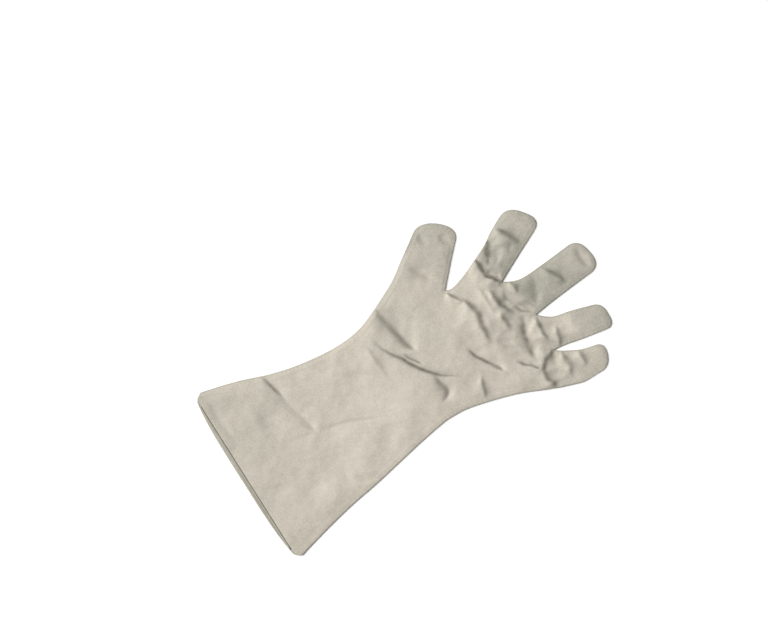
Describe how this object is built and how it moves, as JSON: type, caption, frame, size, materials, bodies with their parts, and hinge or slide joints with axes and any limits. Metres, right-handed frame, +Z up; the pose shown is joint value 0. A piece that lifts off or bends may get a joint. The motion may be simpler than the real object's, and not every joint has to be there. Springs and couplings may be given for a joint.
{
  "type": "faraday glove",
  "caption": "Gauntlet glove of metallised conductive cloth with a flared cuff, made from a palm and a back layer joined by one turned seam, lying palm down.",
  "frame": {"origin": "on the surface below the middle of the glove's outer box", "axes": "+X from the cuff to the fingertips, +Y to the thumb side, +Z up through the back of the hand"},
  "size_m": [0.3986, 0.2104, 0.0171],
  "materials": {
    "cloth": "closely woven metallised cloth, pale silver grey, soft satin sheen",
    "hem_cloth": "the same metallised cloth, inner face, turned in and pressed flat"
  },
  "bodies": {
    "root": {"back_panel": "cloth", "palm_panel": "cloth", "back_hem": "hem_cloth", "palm_hem": "hem_cloth"}
  },
  "joints": []
}
